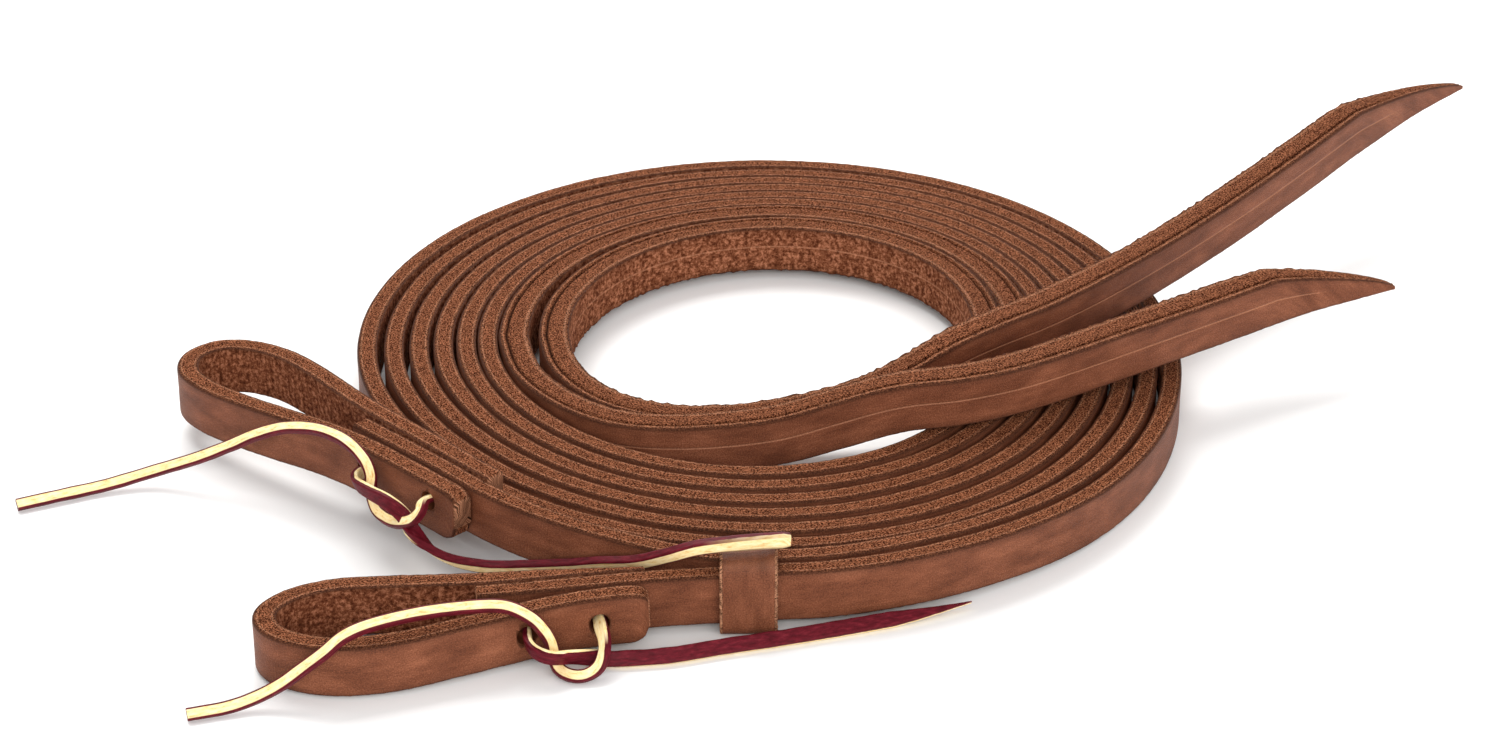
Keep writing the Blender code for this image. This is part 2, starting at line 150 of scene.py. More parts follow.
FAR_BIT_LOOP = [
    (-64.6, -76.8, 8.2, 5.2), (-72.2, -69.4, 8.6, 5.4), (-81.0, -60.2, 8.7, 5.4),
    (-89.7, -51.0, 8.6, 5.4), (-98.0, -41.4, 8.2, 5.4), (-105.5, -31.4, 7.6, 5.4),
    (-113.0, -21.4, 7.0, 5.4), (-121.0, -12.4, 6.3, 5.4), (-129.6, -7.0, 5.8, 5.4),
    (-138.0, -6.2, 5.5, 5.4), (-143.8, -11.2, 5.4, 5.4), (-144.0, -19.2, 5.4, 5.4),
    (-138.8, -27.2, 5.6, 5.4), (-129.6, -35.2, 6.0, 5.4), (-118.5, -43.8, 6.8, 5.4),
    (-106.5, -52.8, 7.8, 5.4), (-96.5, -61.6, 8.4, 5.4), (-86.5, -71.4, 8.6, 5.4),
    (-71.6, -86.1, 8.3, 5.4),
]

# Lace routes in millimetres, from the tip of one tail to the tip of the other.
NEAR_LACE = [
    (-127.4, -148.8, 1.6), (-119.3, -146.2, 1.7), (-113.2, -144.0, 2.8), (-107.6, -142.8, 5.4),
    (-102.7, -142.2, 9.0), (-97.7, -141.9, 13.0), (-93.3, -139.4, 15.8), (-87.2, -136.4, 17.0),
    (-77.0, -132.1, 17.2), (-66.5, -129.2, 17.0), (-59.0, -128.8, 16.8), (-53.6, -130.2, 15.0),
    (-51.0, -129.6, 11.6), (-49.4, -128.3, 7.6), (-48.6, -128.4, 4.4), (-47.6, -130.8, 2.2),
    (-44.8, -133.2, 1.7), (-41.4, -133.4, 1.8), (-38.5, -131.8, 3.0), (-37.3, -129.4, 5.4),
    (-37.4, -126.6, 7.4), (-38.3, -122.8, 8.1), (-39.4, -115.0, 8.1), (-40.2, -109.0, 8.1),
    (-42.0, -105.6, 8.1), (-46.6, -104.6, 8.1), (-51.4, -104.6, 8.1), (-55.6, -105.8, 8.1),
    (-56.6, -110.0, 8.1), (-55.8, -117.0, 8.1), (-54.6, -124.5, 8.1), (-54.1, -129.4, 7.9),
    (-52.2, -132.4, 7.2), (-48.8, -132.8, 6.0), (-44.0, -130.2, 4.6), (-39.2, -127.4, 2.6),
    (-33.0, -126.8, 1.8), (-22.8, -125.4, 1.8), (-11.7, -122.0, 1.8), (-0.5, -118.9, 1.8),
    (10.8, -115.5, 1.8), (22.2, -111.8, 1.8), (33.7, -107.7, 1.8), (45.6, -102.6, 1.8),
]
FAR_LACE = [
    (-180.9, -57.9, 1.6), (-171.4, -53.5, 1.7), (-160.9, -48.8, 1.9), (-149.6, -45.6, 4.0),
    (-138.6, -46.6, 8.2), (-130.0, -48.6, 12.8), (-123.4, -51.0, 17.0), (-116.0, -54.4, 20.8),
    (-108.6, -58.8, 23.0), (-102.8, -63.6, 23.8), (-98.6, -67.6, 23.4), (-95.4, -70.3, 21.0),
    (-94.0, -71.2, 17.6), (-94.0, -71.6, 14.0), (-92.6, -75.0, 10.6), (-89.8, -79.2, 10.2),
    (-86.4, -83.6, 11.8), (-83.0, -87.6, 14.8), (-80.9, -88.4, 17.5), (-80.5, -85.2, 18.0),
    (-78.8, -80.9, 17.0), (-74.6, -76.8, 16.6), (-69.5, -71.7, 16.2), (-67.0, -68.2, 15.6),
    (-69.2, -64.6, 15.2), (-74.4, -59.2, 15.0), (-79.2, -54.4, 15.0), (-82.6, -53.0, 15.4),
    (-86.0, -55.9, 16.0), (-89.6, -59.4, 16.2), (-94.0, -64.0, 15.8), (-97.4, -67.8, 15.6),
    (-97.2, -72.0, 15.7), (-93.8, -76.6, 15.9), (-89.2, -80.8, 15.6), (-85.4, -83.6, 13.6),
    (-82.8, -86.4, 10.6), (-79.2, -89.4, 8.4), (-74.0, -92.0, 6.8), (-67.2, -94.0, 6.3),
    (-60.8, -95.5, 6.8), (-47.2, -97.9, 8.7), (-40.0, -99.8, 10.4), (-31.0, -102.9, 12.6),
    (-23.5, -106.0, 16.3), (-16.4, -107.4, 19.2), (-6.1, -106.2, 19.8), (4.1, -104.3, 19.5),
]
# How a lace is turned along its route: (point number, way its pale face looks, pale share of its edge).
NEAR_LACE_TURNS = [
    (0, (0.1, -0.75, 0.65), 0.3), (5, (-0.3, -0.6, 0.75), 0.3), (8, (-0.1, -0.55, 0.85), 0.3),
    (10, (0.1, -0.6, 0.8), 0.3), (12, (0.5, -0.7, 0.5), 0.3), (14, (0.3, -0.8, 0.5), 0.3),
    (16, (0.0, -0.6, 0.8), 0.3), (18, (-0.5, -0.7, 0.5), 0.3), (19, (-0.7, -0.7, 0.2), 0.3),
    (20, (-0.6, -0.7, 0.4), 0.4), (21, (-0.6, -0.2, 0.8), 0.5), (22, (-0.9, 0.0, 0.4), 0.5),
    (23, (-1.0, -0.2, 0.0), 0.5), (25, (0.0, -1.0, 0.0), 0.5), (27, (0.3, -1.0, 0.0), 0.5),
    (28, (0.9, -0.5, 0.0), 0.5), (30, (1.0, 0.1, 0.1), 0.4), (31, (0.8, 0.6, 0.2), 0.4),
    (32, (0.2, 0.95, 0.3), 0.5), (34, (0.1, 0.9, 0.2), 0.5), (36, (0.0, 0.75, -0.65), 0.5),
    (43, (0.0, 0.6, -0.8), 0.6),
]
FAR_LACE_TURNS = [
    (0, (0.0, -0.7, 0.7), 0.3), (5, (0.0, -0.6, 0.8), 0.3), (9, (0.2, -0.5, 0.8), 0.3),
    (11, (0.3, -0.8, 0.5), 0.3), (13, (-0.2, -0.95, 0.3), 0.3), (15, (-0.36, -0.45, 0.8), 0.3),
    (17, (-0.5, -0.5, 0.6), 0.3), (18, (-0.7, -0.3, 0.6), 0.3), (20, (-0.3, 0.3, 0.9), 0.5),
    (21, (-0.7, 0.7, 0.3), 0.5), (23, (-0.7, 0.5, 0.0), 0.5), (24, (-0.9, -0.4, 0.0), 0.5),
    (25, (-0.7, -0.7, 0.0), 0.5), (27, (0.1, -1.0, 0.0), 0.5), (28, (0.7, -0.7, 0.0), 0.5),
    (30, (0.7, -0.7, 0.1), 0.4), (31, (0.95, 0.2, 0.2), 0.4), (32, (0.75, 0.65, 0.3), 0.5),
    (34, (0.7, 0.7, -0.2), 0.5), (35, (0.5, 0.5, -0.7), 0.5), (36, (0.0, 0.0, -1.0), 0.4),
    (37, (-0.2, -0.6, -0.8), 0.3), (39, (0.0, -0.9, -0.5), 0.3), (44, (0.0, -0.95, -0.35), 0.3),
    (47, (0.0, -1.0, -0.05), 0.4),
]

# A point on each hole's axis, in millimetres, and the axis direction.
NEAR_HOLES = [((-39.4, -115.0, 8.1), (-0.128, 0.992, 0.0)), ((-55.8, -117.0, 8.1), (-0.128, 0.992, 0.0))]
FAR_HOLES = [((-74.6, -76.8, 16.6), (0.712, 0.701, 0.0)), ((-89.6, -59.4, 16.2), (0.712, 0.701, 0.0))]

# Camera: it looks along +Y and down on the middle of the coil.
CAMERA_TARGET = np.array((-5.0, 0.0, 6.0)) * MM
CAMERA_DISTANCE = 0.9
CAMERA_ELEVATION = math.radians(28)
CAMERA_LENS = 85.1

# Lights, all turned to the origin: name, place, size, power in watts, colour.
LIGHTS = [
    ("key", (-0.4, 0.9, 1.5), (1.2, 0.8), 24, (1.0, 0.99, 0.97)),
    ("back", (0.3, 1.9, 0.9), (2.0, 0.6), 16, (1.0, 0.98, 0.95)),
    ("fill", (0.35, -1.6, 0.8), (2.2, 1.0), 27, (1.0, 0.985, 0.965)),
]
WORLD_STRENGTH = 0.7
FLOOR_HALF = 8.0
FLOOR_DROP = 0.05 * MM


# ---------------------------------------------------------------- routes


def smooth_step(value, low, high):
    share = min(1.0, max(0.0, (value - low) / (high - low)))
    return share * share * (3 - 2 * share)


def waves(parts, angle):
    total = parts[0]
    for number in (1, 2, 3):
        total += parts[2 * number - 1] * math.cos(number * angle)
        total += parts[2 * number] * math.sin(number * angle)
    return total


def strap_thickness(turn):
    grown = smooth_step(turn, TURNS_THIN, TURNS_THICK)
    return STRAP_THICKNESS + (END_THICKNESS - STRAP_THICKNESS) * grown


def outer_face(strap, turn):
    """Radius of a strap's outer face: strap 0 is the near rein, and strap 1 the far one inside it."""
    layer = 2 * turn + strap
    angle = math.tau * (turn - 0.25)
    radius = waves(OUTER_RADIUS, angle) - waves(PITCH, angle) * layer
    radius = (radius + waves(TIGHTENING, angle) * layer**2) * MM
    away = abs((turn - PRESSED_TURN + 0.5) % 1 - 0.5) / PRESSED_HALF_WIDTH
    radius -= PRESSED_IN * math.cos(min(1.0, away) * math.pi / 2) ** 2 * max(0.0, 1 - layer / 6)
    radius += KEEPER_BULGE * (1 - smooth_step(turn, 0.0, 0.09))
    neighbour = (0, turn) if strap else (1, turn - 1)
    if neighbour[1] < 0:
        return radius
    gap = LAYER_GAP + strap * LAST_TURN_SPREAD * smooth_step(turn, 3.4, 3.75)
    return min(radius, outer_face(*neighbour) - strap_thickness(neighbour[1]) - gap)


def coil(strap):
    count = round(TURNS_COILED / STEP_TURN)
    stations = []
    for i in range(count + 1):
        turn = TURNS_COILED * i / count
        angle = math.tau * (turn - 0.25)
        thickness = strap_thickness(turn)
        radius = outer_face(strap, turn) - thickness / 2
        x = COIL_CENTRE[0] + radius * math.cos(angle)
        y = COIL_CENTRE[1] + radius * math.sin(angle)
        lift = KEEPER_LIFT * (1 - smooth_step(turn, 0.03, 0.16))
        rise = LAYER_RISE * max(0.0, 2 * turn + strap - FLAT_LAYERS)
        stations.append((x, y, lift + rise, thickness))
    return stations


def in_metres(route):
    return [tuple(value * MM for value in point) for point in route]


def smooth_route(points, spacing):
    """Points read from a Catmull-Rom curve through the route, about the spacing apart."""
    knots = np.array(points, float)
    knots = np.vstack([2 * knots[0] - knots[1], knots, 2 * knots[-1] - knots[-2]])
    route = []
    for i in range(1, len(knots) - 2):
        before, start, end, after = knots[i - 1 : i + 3]
        steps = max(1, math.ceil(np.linalg.norm((end - start)[:3]) / spacing))
        for t in np.arange(steps) / steps:
            route.append(
                0.5
                * (
                    2 * start
                    + (end - before) * t
                    + (2 * before - 5 * start + 4 * end - after) * t**2
                    + (3 * start - before - 3 * end + after) * t**3
                )
            )
    route.append(knots[-2])
    return np.array(route)


def along_of(centres):
    steps = np.linalg.norm(np.diff(centres, axis=0), axis=1)
    return np.concatenate([[0.0], np.cumsum(steps)])


def unit(vectors):
    return vectors / np.maximum(np.linalg.norm(vectors, axis=-1, keepdims=True), 1e-12)


# ---------------------------------------------------------------- strap surfaces


def corner(centre_x, centre_y, radius, start, count):
    """Points of a quarter circle that starts at an angle, given in quarter turns."""
    angles = (start + np.linspace(0, 1, count)) * math.pi / 2
    return [(centre_x + radius * math.cos(a), centre_y + radius * math.sin(a)) for a in angles]


def strap_section(thickness, thick_share):
    """The section's outline, anticlockwise from the bottom of the grain face.

    Columns: x from the grain face at -thickness/2 to the flesh face, y over the width, then how far
    each point is a cut edge, flesh side, rounded corner and groove (both darkened with painted shade), and
    rim with a painted highlight.
    """
    half, tall = thickness / 2, STRAP_WIDTH / 2
    grain, flesh = min(GRAIN_CORNER, half * 0.7), min(FLESH_CORNER, half * 0.7)
    groove_x = (GROOVE_PLACE - 0.5) * thickness
    over_edge = edge_places(-half + grain, half - flesh, groove_x)
    up_face = np.linspace(-tall + flesh, tall - flesh, 8)[1:-1]
    points = [(x, -tall, 1, 0, 0) for x in over_edge]
    points += corner_points((half - flesh, -tall + flesh), flesh, 3, (1, 0), (0, 1))
    points += [(half, y, 0, 1, 0) for y in up_face]
    points += corner_points((half - flesh, tall - flesh), flesh, 0, (0, 1), (1, 0))
    points += [(x, tall, 1, 0, 0) for x in over_edge[::-1]]
    points += corner_points((-half + grain, tall - grain), grain, 1, (1, 0), (0, 0))
    points += [(-half, y, 0, 0, 0) for y in up_face[::-1]]
    points += corner_points((-half + grain, -tall + grain), grain, 2, (0, 0), (1, 0))
    section = np.array(points)
    away = np.abs(section[:, 0] - groove_x) / GROOVE_HALF_WIDTH
    groove = thick_share * np.clip(1 - away, 0, 1) * (section[:, 2] > 0.9)
    section[:, 1] -= np.sign(section[:, 1]) * groove * GROOVE_DEPTH
    # Painted highlight along the rims next to the corners of both cut edges.
    rim_highlight = np.zeros(len(section))
    rim_highlight[[0, len(over_edge) - 1]] = RIM_HIGHLIGHT_SHARE
    top = len(over_edge) + 5 + len(up_face) + 5
    rim_highlight[[top, top + len(over_edge) - 1]] = RIM_HIGHLIGHT_SHARE
    return np.column_stack([section, groove, rim_highlight])


def edge_places(low, high, groove_x):
    """Places over a cut edge, with the groove's middle and two rims among them."""
    rims = (groove_x - GROOVE_HALF_WIDTH, groove_x + GROOVE_HALF_WIDTH)
    if low + 0.2 * MM > rims[0] or rims[1] > high - 0.2 * MM:
        return np.linspace(low, high, 14)[1:-1]
    return np.concatenate([np.linspace(low, rims[0], 4)[1:], [groove_x], np.linspace(rims[1], high, 9)[:-1]])


def corner_points(middle, radius, start, first, last):
    """A rounded corner that goes over from one pair of edge and flesh marks to another."""
    points = []
    for i, (x, y) in enumerate(corner(*middle, radius, start, 5)):
        marks = [one + (other - one) * i / 4 for one, other in zip(first, last)]
        points.append((x, y, *marks, (0.35, 0.9, 1.0, 0.9, 0.35)[i]))
    return points


def slanted_end(slant_length):
    """Limits of a strap's width, which is cut on a long slant to a low point at the free end."""

    def limits(left):
        share = min(1.0, left / slant_length)
        return (0.0, POINT_SHARE + (1 - POINT_SHARE) * share**SLANT_ROUNDING)

    return limits


def rounded_end(left):
    share = min(1.0, left / TIP_LENGTH)
    cut = 1 - math.sqrt(1 - (1 - share) ** 2)
    return (LOWER_TIP_CUT * cut, 1 - UPPER_TIP_CUT * cut)


def unevenness(along, around, seed, edge, fray):
    """Unevenness of leather, in metres: slow waves everywhere, nap on cut edges and frayed corners."""
    slow = noise.noise(Vector((along * 45, around * 45, seed)))
    middle = noise.noise(Vector((along * 190, around * 260, seed + 7)))
    fine = noise.noise(Vector((along * 800, around * 1100, seed + 13)))
    return (0.10 * slow + 0.05 * middle + (0.02 + 0.12 * edge + 0.5 * fray) * fine) * MM


def strap(name, route, limits, material, seed):
    """A strap on edge, carried along its route, with rounded corners and uneven leather."""
    centres = route[:, :3] + np.array((0, 0, STRAP_WIDTH / 2)) + MODEL_SHIFT
    along = along_of(centres)
    ahead = unit(np.gradient(centres, axis=0))
    side = unit(np.cross((0.0, 0.0, 1.0), ahead))
    up = np.cross(ahead, side)
    rings, marks, details, places = [], [], [], []
    for i, centre in enumerate(centres):
        thick_share = smooth_step(route[i, 3], STRAP_THICKNESS + 0.6 * MM, END_THICKNESS)
        section = strap_section(route[i, 3], thick_share)
        edge, flesh, rounded, groove, rim_highlight = section[:, 2:].T
        low, high = limits(along[-1] - along[i])
        y = (low + (high - low) * (section[:, 1] / STRAP_WIDTH + 0.5) - 0.5) * STRAP_WIDTH
        outline = np.column_stack([section[:, 0], y])
        outward = unit(outline - [0, (low + high - 1) / 2 * STRAP_WIDTH])
        around = along_of(outline)
        fray = thick_share * rounded * (outline[:, 0] > 0)
        rises = [unevenness(along[i], *values) for values in zip(around, [seed] * len(around), edge, fray)]
        outline = outline + outward * (np.array(rises) - 0.08 * MM)[:, None]
        rings.append(centre + np.outer(outline[:, 0], side[i]) + np.outer(outline[:, 1], up[i]))
        height = section[:, 1] / STRAP_WIDTH + 0.5
        same = np.ones(len(section))
        marks.append(np.column_stack([edge, flesh, same * thick_share, height]))
        details.append(np.column_stack([rounded, groove, rim_highlight]))
        places.append(np.column_stack([same * along[i], around, same * seed]))
    for first, way in ((True, -ahead[0]), (False, ahead[-1])):
        add_cut_end(rings, marks, details, places, first, way)
    values = {"marks": np.array(marks), "details": np.array(details), "place": np.array(places)}
    return tube(name, np.array(rings), values, material)


def add_cut_end(rings, marks, details, places, first, way):
    """One more ring, a little smaller and further out, whose surface is a cut edge."""
    end = 0 if first else len(rings) - 1
    middle = rings[end].mean(axis=0)
    ring = middle + (rings[end] - middle) * CUT_END_SHARE + way * END_CROWN
    for values, extra in (
        (rings, ring),
        (marks, marks[end] * (0, 0, 1, 1) + (1, 0, 0, 0)),
        # The cut end takes the painted rim highlight over its whole face.
        (details, details[end] * 0 + (0, 0, RIM_HIGHLIGHT_SHARE)),
        (places, places[end]),
    ):
        values.insert(0 if first else len(values), extra)


def tube(name, points, values, material):
    """A closed mesh through rings of points, with the shader's values on its vertices."""
    rings, count = points.shape[:2]
    index = np.arange(rings * count).reshape(rings, count)
    following = np.roll(index, -1, axis=1)
    quads = np.stack([index[:-1], following[:-1], following[1:], index[1:]], axis=-1).reshape(-1, 4)
    faces = quads.tolist() + [index[0][::-1].tolist(), index[-1].tolist()]
    mesh = bpy.data.meshes.new(name)
    mesh.from_pydata(points.reshape(-1, 3).tolist(), [], faces)
    for value_name, numbers in values.items():
        add_vertex_values(mesh, value_name, numbers.reshape(-1, numbers.shape[-1]))
    return finish_mesh(name, mesh, material)


def add_vertex_values(mesh, name, values):
    """Stores values on the vertices: three numbers as a vector, and four as a colour."""
    if values.shape[1] == 3:
        layer = mesh.attributes.new(name, "FLOAT_VECTOR", "POINT")
        layer.data.foreach_set("vector", values.astype(np.float32).ravel())
    else:
        layer = mesh.attributes.new(name, "FLOAT_COLOR", "POINT")
        layer.data.foreach_set("color", values.astype(np.float32).ravel())


def finish_mesh(name, mesh, material):
    shape = bmesh.new()
    shape.from_mesh(mesh)
    bmesh.ops.recalc_face_normals(shape, faces=shape.faces)
    caps = [face for face in shape.faces if len(face.verts) > 4]
    bmesh.ops.triangulate(shape, faces=caps)
    shape.to_mesh(mesh)
    shape.free()
    mesh.shade_smooth()
    mesh.set_sharp_from_angle(angle=SHARP_ANGLE)
    mesh.materials.append(material)
    obj = bpy.data.objects.new(name, mesh)
    bpy.context.collection.objects.link(obj)
    return obj


def punch(obj, holes):
    """Cuts the round lace holes through a piece, and leaves no modifier on it."""
    for number, (place, direction) in enumerate(holes):
        shape = bmesh.new()
        bmesh.ops.create_cone(
            shape,
            cap_ends=True,
            segments=32,
            radius1=HOLE_DIAMETER / 2,
            radius2=HOLE_DIAMETER / 2,
            depth=30 * MM,
        )
        mesh = bpy.data.meshes.new(f"{obj.name}_punch_{number}")
        turned = Vector(direction).to_track_quat("Z", "Y").to_matrix().to_4x4()
        shape.transform(Matrix.Translation(Vector(np.array(place) * MM + MODEL_SHIFT)) @ turned)
        shape.to_mesh(mesh)
        shape.free()
        cutter = bpy.data.objects.new(mesh.name, mesh)
        bpy.context.collection.objects.link(cutter)
        cut = obj.modifiers.new("punch", "BOOLEAN")
        cut.operation = "DIFFERENCE"
        cut.object = cutter
        bpy.context.view_layer.update()
        evaluated = obj.evaluated_get(bpy.context.evaluated_depsgraph_get())
        cut_mesh = bpy.data.meshes.new_from_object(evaluated)
        obj.modifiers.clear()
        obj.data = cut_mesh
        bpy.data.objects.remove(cutter, do_unlink=True)
    return obj


# ---------------------------------------------------------------- keeper and laces


def band_outline(half_y, half_z):
    """The keeper's outline round both straps: a rounded rectangle in short even steps."""
    outline = []
    for start, (sy, sz) in enumerate(((1, 1), (-1, 1), (-1, -1), (1, -1))):
        middle = (sy * (half_y - KEEPER_CORNER), sz * (half_z - KEEPER_CORNER))
        outline += corner(*middle, KEEPER_CORNER, start, 7)
    outline = np.array(outline)
    resampled = []
    for start, end in zip(outline, np.roll(outline, -1, axis=0)):
        steps = max(1, round(np.linalg.norm(end - start) / KEEPER_STEP))
        resampled += [start + (end - start) * k / steps for k in range(steps)]
    return np.array(resampled)


def into_wall(outline):
    """Direction into the keeper's wall at every point of its outline."""
    ahead = unit(np.roll(outline, 1, axis=0) - np.roll(outline, -1, axis=0))
    inward = ahead @ np.array([[0, 1], [-1, 0]])
    return -inward if np.sum(inward * outline) > 0 else inward


def band_profile(half_x):
    """Section of the keeper's wall: x over its width, depth into the wall, share of cut edge."""
    bevel, rim, deepest = KEEPER_BEVEL, KEEPER_RIM, KEEPER_WALL
    flat = half_x - rim - 0.1 * MM
    profile = [(-half_x + bevel, 0.0, 1), (-half_x + rim, 0.0, 1)]
    profile += [(x, 0.0, 0) for x in np.linspace(-flat, flat, 12)]
    profile += [(half_x - rim, 0.0, 1), (half_x - bevel, 0.0, 1)]
    profile += [(half_x, d, 1) for d in np.linspace(bevel, deepest - bevel, 4)]
    profile += [(x, deepest, 0.2) for x in np.linspace(half_x - bevel, -half_x + bevel, 8)]
    return profile + [(-half_x, d, 1) for d in np.linspace(deepest - bevel, bevel, 4)]


def ring_faces(rings, count):
    """Faces of a tube that closes on itself both along and around."""
    index = np.arange(rings * count).reshape(rings, count)
    next_ring, next_point = np.roll(index, -1, axis=0), np.roll(index, -1, axis=1)
    both = np.roll(next_ring, -1, axis=1)
    return np.stack([index, next_point, both, next_ring], axis=-1).reshape(-1, 4).tolist()


def keeper(material):
    """The band round both straps, with soft cut edges."""
    low, high = (np.array(corner_point) for corner_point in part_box("keeper"))
    middle, half = (low + high) / 2, (high - low) / 2
    outline = band_outline(half[1], half[2])
    profile = band_profile(half[0])
    inward, around = into_wall(outline), along_of(outline)
    points, marks, details, places = [], [], [], []
    for i, (y, z) in enumerate(outline):
        for k, (x, deep, edge) in enumerate(profile):
            wave = 0.12 * MM * noise.noise(Vector((x * 150, around[i] * 150, 3)))
            fray = 0.3 * MM * noise.noise(Vector((k, around[i] * 700, 5))) * edge
            spot = np.array((y, z)) + inward[i] * (deep + (wave if deep == 0 else 0) + 0.02 * MM)
            points.append((middle[0] + x + fray, middle[1] + spot[0], middle[2] + spot[1]))
            marks.append((edge, 0.0, 0.0, 0.0))
            # The keeper's cut edges carry the painted rim highlight.
            details.append((0.0, 0.0, edge))
            places.append((around[i], x + deep, 50))
    mesh = bpy.data.meshes.new("keeper_band")
    mesh.from_pydata([tuple(p) for p in points], [], ring_faces(len(outline), len(profile)))
    for value_name, numbers in (("marks", marks), ("details", details), ("place", places)):
        add_vertex_values(mesh, value_name, np.array(numbers, float))
    return finish_mesh("keeper_band", mesh, material)


def lace_route(points):
    """Stations along a lace, with the number of the control point that each is at."""
    knots = np.column_stack([np.array(points) * MM, np.arange(len(points))])
    return smooth_route(knots, LACE_STEP)


def lace_section(width, thickness):
    """A flat lace's outline with rounded corners: x from burgundy to pale face, y over its width."""
    half_x, half_y = thickness / 2, width / 2
    radius = min(LACE_CORNER, half_x * 0.8, half_y * 0.8)
    points = []
    for start, (sx, sy) in enumerate(((1, 1), (-1, 1), (-1, -1), (1, -1))):
        points += corner(sx * (half_x - radius), sy * (half_y - radius), radius, start, 4)
        if start % 2 == 0:
            points += [(sx * (half_x - radius) * k, sy * half_y) for k in (0.6, 0.2, -0.2, -0.6)]
        else:
            points += [(sx * half_x, sy * (half_y - radius) * k) for k in (0.7, 0.35, 0.0, -0.35, -0.7)]
    return np.array(points)


def lace_turns(numbers, ahead, turns):
    """Directions of the pale face and of the width at every station, and the pale share of the edge."""
    at = np.array([turn[0] for turn in turns], float)
    given = np.array([turn[1] for turn in turns], float)
    pale_way = np.column_stack([np.interp(numbers, at, given[:, axis]) for axis in range(3)])
    pale_way = unit(pale_way - ahead * np.sum(pale_way * ahead, axis=1, keepdims=True))
    return pale_way, np.cross(ahead, pale_way), np.interp(numbers, at, [turn[2] for turn in turns])


def lace(name, points, turns, taper, tip_share, material, seed):
    """A flat latigo lace, which twists along its route and narrows at its last tip."""
    route = lace_route(points)
    centres = route[:, :3] + MODEL_SHIFT
    pale_way, width_way, pale_share = lace_turns(route[:, 3], unit(np.gradient(centres, axis=0)), turns)
    along = along_of(centres)
    sections, marks, places = [], [], []
    for i in range(len(centres)):
        left = min(1.0, (along[-1] - along[i]) / taper + tip_share)
        left *= FIRST_TAIL_SHARE + (1 - FIRST_TAIL_SHARE) * smooth_step(route[i, 3], 30, 36)
        uneven = 1 + 0.05 * noise.noise(Vector((along[i] * 250, 0, seed)))
        section = lace_section(LACE_WIDTH * left * uneven, LACE_THICKNESS * (0.5 + 0.5 * left))
        across = section[:, 0] / LACE_THICKNESS + 0.5
        ring = np.outer(section[:, 0], pale_way[i]) + np.outer(section[:, 1], width_way[i])
        centres[i, 2] = max(centres[i, 2], -ring[:, 2].min() + 0.1 * MM)
        sections.append(centres[i] + ring)
        same = np.full(len(section), 1.0)
        beside = np.abs(section[:, 1]) / (LACE_WIDTH * left * uneven / 2)
        marks.append(np.column_stack([across, same * pale_share[i], beside, same]))
        places.append(np.column_stack([same * along[i], along_of(section), same * seed]))
    values = {"marks": np.array(marks), "place": np.array(places)}
    return tube(name, np.array(sections), values, material), centres


# ---------------------------------------------------------------- materials


class Nodes:
    """A short way to write a material's node tree."""

    def __init__(self, name):
        self.material = bpy.data.materials.new(name)
        self.material.use_nodes = True
        self.tree = self.material.node_tree
        self.shader = self.tree.nodes["Principled BSDF"]

    def add(self, kind, **values):
        node = self.tree.nodes.new(kind)
        for name, value in values.items():
            setattr(node, name, value)
        return node

    def join(self, source, target):
        self.tree.links.new(source, target)

    def feed(self, target, value):
        """Links a socket, or sets a constant, on a target socket."""
        if isinstance(value, bpy.types.NodeSocket):
            self.join(value, target)
        else:
            target.default_value = value

    def attribute(self, name):
        return self.add("ShaderNodeAttribute", attribute_name=name)

    def maths(self, operation, first, second=0.0, clamp=False):
        node = self.add("ShaderNodeMath", operation=operation, use_clamp=clamp)
        self.feed(node.inputs[0], first)
        self.feed(node.inputs[1], second)
        return node.outputs[0]

    def stretched(self, vector, scale):
        node = self.add("ShaderNodeVectorMath", operation="MULTIPLY")
        self.feed(node.inputs[0], vector)
        node.inputs[1].default_value = scale
        return node.outputs[0]

    def noise(self, vector, scale, detail=4.0, roughness=0.6):
        node = self.add("ShaderNodeTexNoise")
        self.feed(node.inputs["Vector"], vector)
        node.inputs["Scale"].default_value = scale
        node.inputs["Detail"].default_value = detail
        node.inputs["Roughness"].default_value = roughness
        return node.outputs["Fac"]

    def ramp(self, value, stops):
        node = self.add("ShaderNodeValToRGB")
        self.feed(node.inputs["Fac"], value)
        elements = node.color_ramp.elements
        while len(elements) < len(stops):
            elements.new(0.5)
        for element, (place, colour) in zip(elements, stops):
            element.position = place
            element.color = (*colour, 1.0)
        return node.outputs["Color"]

    def mix(self, share, first, second):
        node = self.add("ShaderNodeMix", data_type="RGBA")
        self.feed(node.inputs["Factor"], share)
        self.feed(node.inputs[6], first)
        self.feed(node.inputs[7], second)
        return node.outputs[2]

    def bump(self, height, distance, strength):
        node = self.add("ShaderNodeBump")
        self.feed(node.inputs["Height"], height)
        node.inputs["Distance"].default_value = distance
        node.inputs["Strength"].default_value = strength
        return node.outputs["Normal"]


GRAIN_DARK, GRAIN_MID, GRAIN_LIGHT = (0.095, 0.027, 0.011), (0.175, 0.054, 0.024), (0.29, 0.102, 0.050)
EDGE_DARK, EDGE_MID, EDGE_LIGHT = (0.010, 0.003, 0.001), (0.100, 0.027, 0.011), (0.50, 0.185, 0.088)
FLESH_DARK, FLESH_MID, FLESH_LIGHT = (0.060, 0.015, 0.006), (0.200, 0.064, 0.029), (0.50, 0.205, 0.11)
CREASE_COLOUR = (0.60, 0.27, 0.15, 1.0)
# Painted highlight on the rims of the cut edges.
RIM_HIGHLIGHT_COLOUR = (0.72, 0.36, 0.21, 1.0)
# Painted shade for the rounded corners and the groove along the cut edge.
PAINTED_SHADE_COLOUR = (0.012, 0.004, 0.002, 1.0)
DYED_DARK, DYED_MID, DYED_LIGHT = (0.05, 0.002, 0.005), (0.11, 0.006, 0.013), (0.19, 0.018, 0.028)
PALE_DARK, PALE_MID, PALE_LIGHT = (0.62, 0.33, 0.10), (0.92, 0.70, 0.33), (1.0, 0.87, 0.58)
BOUNDARY_SHARPNESS = 14.0


